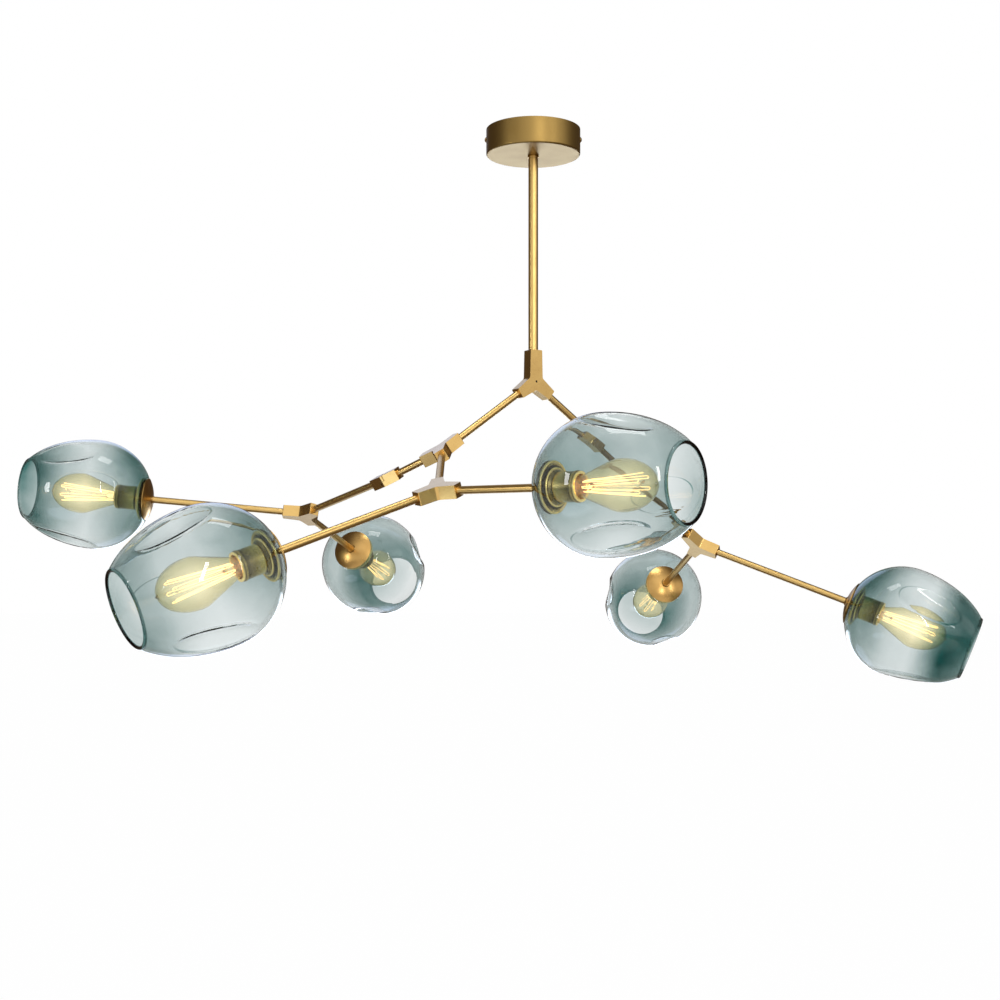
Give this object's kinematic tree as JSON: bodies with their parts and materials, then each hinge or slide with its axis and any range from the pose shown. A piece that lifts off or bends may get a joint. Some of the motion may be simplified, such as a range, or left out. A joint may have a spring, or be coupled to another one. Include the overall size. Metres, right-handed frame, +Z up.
{
  "type": "branch chandelier",
  "caption": "Branch chandelier: a stem under a round canopy forks through turning hubs and bending knuckles into thin brass tubes that end in dented smoke-glass shades.",
  "frame": {"origin": "on the ceiling plane, on the stem's axis, midway between the two ceiling slots", "axes": "+Z up into the ceiling, +X to the right of the picture, +Y away from its camera"},
  "size_m": [1.3396, 1.0553, 0.7407],
  "materials": {
    "brass": "satin",
    "dark_brass": "antique",
    "steel": "zinc plated",
    "plastic": "matte",
    "smoke_glass": "smoky blue, polished",
    "bulb_glass": "amber, polished",
    "bulb_base": "coppery"
  },
  "bodies": {
    "ceiling": {"canopy": "brass", "crossbar": "steel", "canopy_screws": "brass", "terminal_block": "plastic", "earth_screw": "steel", "stem_nipple": "steel", "nipple_nuts": "steel", "stem_collar": "brass"},
    "stem": {"stem_tube": "brass", "hub_top": "brass", "hub_top_screw": "steel", "tube_upper_left": "brass", "tube_upper_right": "brass", "knuckle_right_inner": "brass", "knuckle_right_pin": "steel"},
    "left_fork": {"hub_left": "brass", "tube_mid_left": "brass", "tube_front_drop": "brass", "knuckle_left_inner": "brass", "knuckle_left_pin": "steel"},
    "left_reach": {"knuckle_left_outer": "brass", "tube_outer_left": "brass"},
    "far_left_fork": {"hub_far_left": "brass", "arm_far_left": "brass", "arm_back_left": "brass", "cap_far_left": "brass", "holder_far_left": "dark_brass", "shade_far_left": "smoke_glass", "bulb_far_left": "bulb_glass", "cap_back_left": "brass", "holder_back_left": "dark_brass", "shade_back_left": "smoke_glass", "bulb_back_left": "bulb_glass", "bulb_bases_left": "bulb_base"},
    "front_fork": {"hub_front": "brass", "arm_front_left": "brass", "arm_front_mid": "brass", "cap_front_left": "brass", "holder_front_left": "dark_brass", "shade_front_left": "smoke_glass", "bulb_front_left": "bulb_glass", "cap_front_mid": "brass", "holder_front_mid": "dark_brass", "shade_front_mid": "smoke_glass", "bulb_front_mid": "bulb_glass", "bulb_bases_front": "bulb_base"},
    "right_reach": {"knuckle_right_outer": "brass", "tube_outer_right": "brass"},
    "right_fork": {"hub_right": "brass", "arm_far_right": "brass", "arm_back_right": "brass", "cap_far_right": "brass", "holder_far_right": "dark_brass", "shade_far_right": "smoke_glass", "bulb_far_right": "bulb_glass", "cap_back_right": "brass", "holder_back_right": "dark_brass", "shade_back_right": "smoke_glass", "bulb_back_right": "bulb_glass", "bulb_bases_right": "bulb_base"}
  },
  "joints": [
    {"name": "stem_swivel", "type": "hinge", "parent": "ceiling", "child": "stem", "pos_m": [0, 0, -0.037], "axis": [0, 0, 1], "range_deg": [-175, 175]},
    {"name": "left_turn", "type": "hinge", "parent": "stem", "child": "left_fork", "pos_m": [-0.1181, -0.07379, -0.43251], "axis": [-0.6947, -0.4341, -0.5736], "range_deg": [-20, 15]},
    {"name": "left_bend", "type": "hinge", "parent": "left_fork", "child": "left_reach", "pos_m": [-0.19434, -0.03076, -0.46673], "axis": [0.4814, 0.1688, -0.8601], "range_deg": [-60, 5]},
    {"name": "far_left_turn", "type": "hinge", "parent": "left_reach", "child": "far_left_fork", "pos_m": [-0.32338, 0.13932, -0.50557], "axis": [-0.5947, 0.7838, -0.179], "range_deg": [-60, 60]},
    {"name": "front_turn", "type": "hinge", "parent": "left_fork", "child": "front_fork", "pos_m": [-0.1152, -0.26877, -0.49246], "axis": [0.0142, -0.9557, -0.2939], "range_deg": [-60, 60]},
    {"name": "right_bend", "type": "hinge", "parent": "stem", "child": "right_reach", "pos_m": [0.07711, 0.04818, -0.39867], "axis": [0.4864, 0.3039, 0.8192], "range_deg": [-41, 15]},
    {"name": "right_turn", "type": "hinge", "parent": "right_reach", "child": "right_fork", "pos_m": [0.24551, 0.18608, -0.54983], "axis": [0.6355, 0.5204, -0.5704], "range_deg": [-60, 60]}
  ]
}
